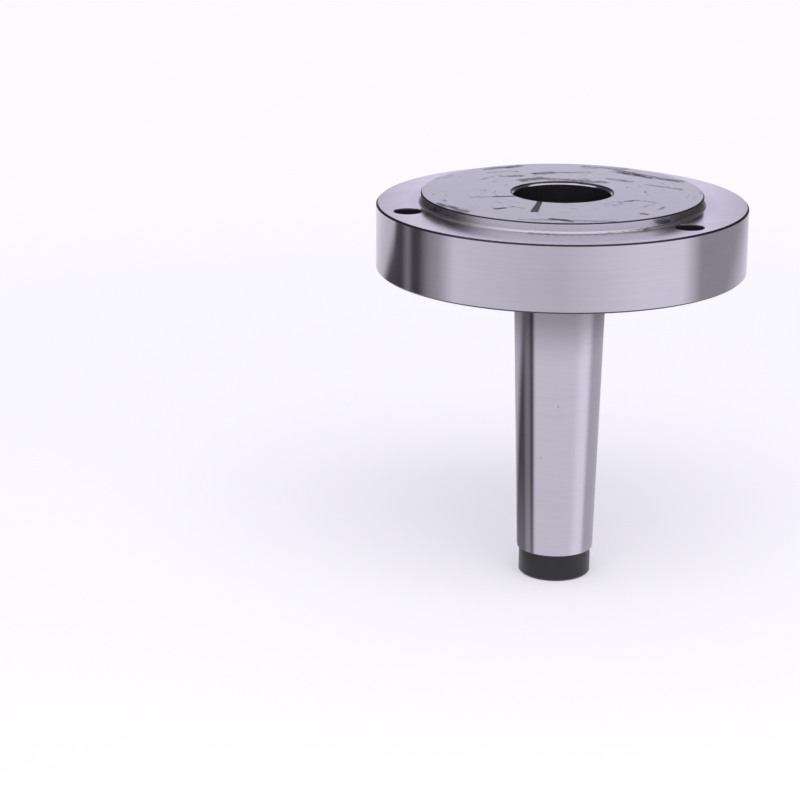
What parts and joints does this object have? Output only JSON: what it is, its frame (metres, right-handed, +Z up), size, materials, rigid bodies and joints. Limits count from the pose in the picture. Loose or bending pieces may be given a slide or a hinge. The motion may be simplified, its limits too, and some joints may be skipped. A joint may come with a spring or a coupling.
{
  "type": "lathe chuck back plate on a morse taper shank",
  "caption": "Round chuck back plate with a raised locating register, screw holes and a bored centre, fixed on a ground Morse taper shank with a drawbar thread.",
  "frame": {"origin": "centre of the shank's small end face, on the axis", "axes": "+Z up the axis from the small end to the chuck side; one screw hole lies on +Y"},
  "size_m": [0.125, 0.125, 0.135],
  "materials": {
    "flange_steel": "ground rim and chuck face, black oxide on the register's face, bore and edges",
    "shank_steel": "fine ground taper, black oxide on the small end and inside"
  },
  "bodies": {
    "root": {"chuck_flange": "flange_steel", "taper_shank": "shank_steel"}
  },
  "joints": []
}
